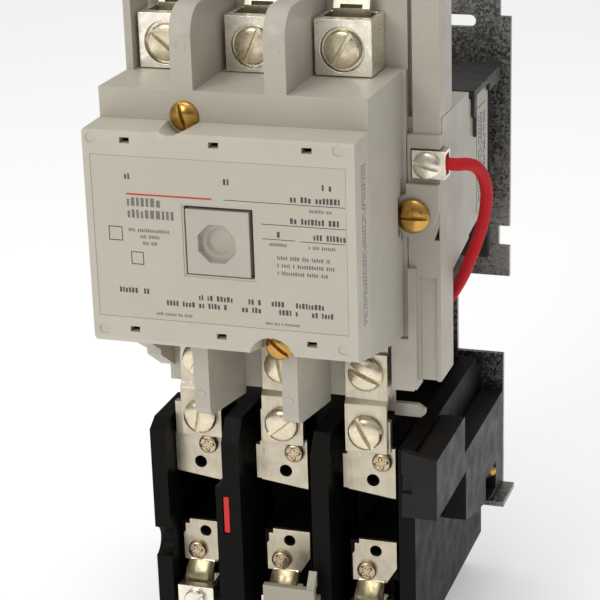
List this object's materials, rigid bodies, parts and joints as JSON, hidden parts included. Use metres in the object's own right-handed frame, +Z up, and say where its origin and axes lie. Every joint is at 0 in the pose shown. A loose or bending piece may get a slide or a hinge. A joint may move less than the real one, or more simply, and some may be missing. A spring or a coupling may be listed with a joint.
{
  "type": "magnetic motor starter",
  "caption": "Open-type magnetic motor starter: a contactor with a sprung crossbar over a thermal overload relay, on a sheet-steel mounting plate.",
  "frame": {"origin": "centre of the plate's four mounting holes, on the plate's back face", "axes": "+X to the right seen from the front, +Y to the back (the front faces -Y), +Z up"},
  "size_m": [0.1299, 0.138, 0.256],
  "materials": {
    "galvanised": "galvanised spangle",
    "dark_steel": "black oxide",
    "lamination": "laminated, oiled",
    "copper": "bare copper",
    "plated": "bright zinc plate",
    "tinned": "tin-plated copper",
    "brass": "worn brass",
    "spring_steel": "drawn wire",
    "grey_moulding": "moulded, fine grain",
    "cover_moulding": "moulded, fine grain",
    "nameplate": "printed foil",
    "paper_label": "printed paper",
    "ivory": "moulded",
    "crossbar_moulding": "moulded",
    "red_plastic": "moulded",
    "red_insulation": "smooth wire insulation",
    "black_phenolic": "moulded phenolic",
    "charcoal_phenolic": "moulded phenolic",
    "reset_moulding": "moulded",
    "bimetal": "rolled strip"
  },
  "bodies": {
    "starter": {"mounting_plate": "galvanised", "magnet_frame": "dark_steel", "magnet_core": "lamination", "shading_rings": "copper", "coil_bobbin": "ivory", "coil_winding": "copper", "magnet_housing": "grey_moulding", "coil_label": "paper_label", "return_springs": "spring_steel", "contactor_base": "grey_moulding", "arc_box": "grey_moulding", "front_cover": "cover_moulding", "nameplate": "nameplate", "line_lug_1": "plated", "line_lug_2": "plated", "line_lug_3": "plated", "line_lug_screws": "plated", "line_strap_1": "tinned", "line_strap_2": "tinned", "line_strap_3": "tinned", "line_strap_screws": "plated", "load_straps": "tinned", "link_strap_1": "tinned", "link_strap_2": "tinned", "link_strap_3": "tinned", "strap_screws": "plated", "brass_screws": "brass", "coil_terminals": "plated", "coil_terminal_screws": "plated", "red_wire": "red_insulation", "overload_base": "black_phenolic", "overload_front": "black_phenolic", "trip_housing": "charcoal_phenolic", "heater_plate_upper_1": "tinned", "heater_plate_upper_2": "tinned", "heater_plate_upper_3": "tinned", "heater_plate_lower_1": "tinned", "heater_plate_lower_2": "tinned", "heater_plate_lower_3": "tinned", "heater_screws": "plated", "load_lug_1": "plated", "load_lug_2": "plated", "load_lug_3": "plated", "load_lug_screws": "plated", "bimetals": "bimetal", "reset_spring": "spring_steel", "overload_screws": "brass"},
    "crossbar": {"crossbar": "crossbar_moulding", "armature": "lamination", "armature_pin": "plated", "contact_springs": "spring_steel"},
    "contacts": {"moving_contact_1": "copper", "moving_contact_2": "copper", "moving_contact_3": "copper"},
    "trip_bar": {"trip_bar": "ivory"},
    "trip_indicator": {"trip_indicator": "red_plastic"},
    "trip_lever": {"trip_lever": "ivory", "trip_contact": "copper"},
    "reset_lever": {"reset_lever": "reset_moulding"}
  },
  "joints": [
    {"name": "crossbar_slide", "type": "slide", "parent": "starter", "child": "crossbar", "axis": [0, 1, 0], "range_m": [0, 0.0065], "stiffness_N_per_m": 1500, "springref_m": -0.01, "deforming": ["return_springs"]},
    {"name": "contact_slide", "type": "slide", "parent": "crossbar", "child": "contacts", "axis": [0, 1, 0], "range_m": [-0.0013, 0], "deforming": ["contact_springs"]},
    {"name": "trip_bar_slide", "type": "slide", "parent": "starter", "child": "trip_bar", "axis": [1, 0, 0], "range_m": [0, 0.0015]},
    {"name": "trip_lever_pivot", "type": "hinge", "parent": "starter", "child": "trip_lever", "pos_m": [0.052, -0.035, -0.065], "axis": [0, -1, 0], "range_deg": [0, 11.5]},
    {"name": "trip_indicator_slide", "type": "slide", "parent": "starter", "child": "trip_indicator", "axis": [0, -1, 0], "range_m": [0, 0.003]},
    {"name": "reset_lever_slide", "type": "slide", "parent": "starter", "child": "reset_lever", "axis": [0, 1, 0], "range_m": [0, 0.0032], "stiffness_N_per_m": 400, "springref_m": -0.004, "deforming": ["reset_spring"]}
  ],
  "couplings": [
    {"joint": "contact_slide", "follows": "crossbar_slide", "ratio": -0.2},
    {"joint": "trip_lever_pivot", "follows": "trip_bar_slide", "rad_per_m": 133.8},
    {"joint": "trip_indicator_slide", "follows": "trip_bar_slide", "ratio": 2}
  ]
}
